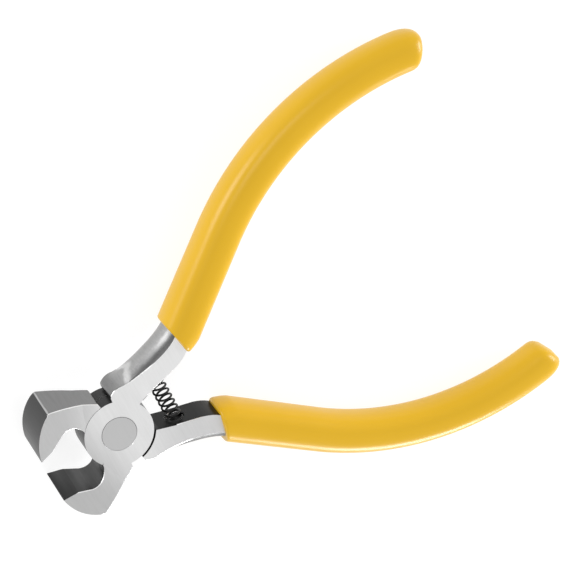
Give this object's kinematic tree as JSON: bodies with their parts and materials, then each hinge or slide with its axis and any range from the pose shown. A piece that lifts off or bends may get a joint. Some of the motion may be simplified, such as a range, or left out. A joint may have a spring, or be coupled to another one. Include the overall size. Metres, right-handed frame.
{
  "type": "tile nippers",
  "caption": "Small end-cutting nippers for tile: two identical lapped forgings on one rivet, return spring, sleeve grips.",
  "frame": {"origin": "on the rivet's axis, at the back face of the lapped head", "axes": "+Z along the rivet's axis towards the front face of the head, +X along the mirror line from the pivot between the handles to their ends, +Y towards the front half's handle; stored open as the spring holds it"},
  "size_m": [0.1072, 0.09, 0.0126],
  "materials": {
    "forged_steel": "satin ground",
    "rivet_steel": "satin ground",
    "spring_steel": "black oxide",
    "grip_vinyl": "glossy"
  },
  "bodies": {
    "front": {"front_half": "forged_steel", "front_grip": "grip_vinyl", "pivot_rivet": "rivet_steel", "return_spring": "spring_steel"},
    "back": {"back_half": "forged_steel", "back_grip": "grip_vinyl"}
  },
  "joints": [
    {"name": "pivot", "type": "hinge", "parent": "front", "child": "back", "pos_m": [0, 0, 0], "axis": [0, 0, 1], "range_deg": [-18, 34.2], "stiffness_Nm_per_rad": 0.07, "deforming": ["return_spring"]}
  ]
}
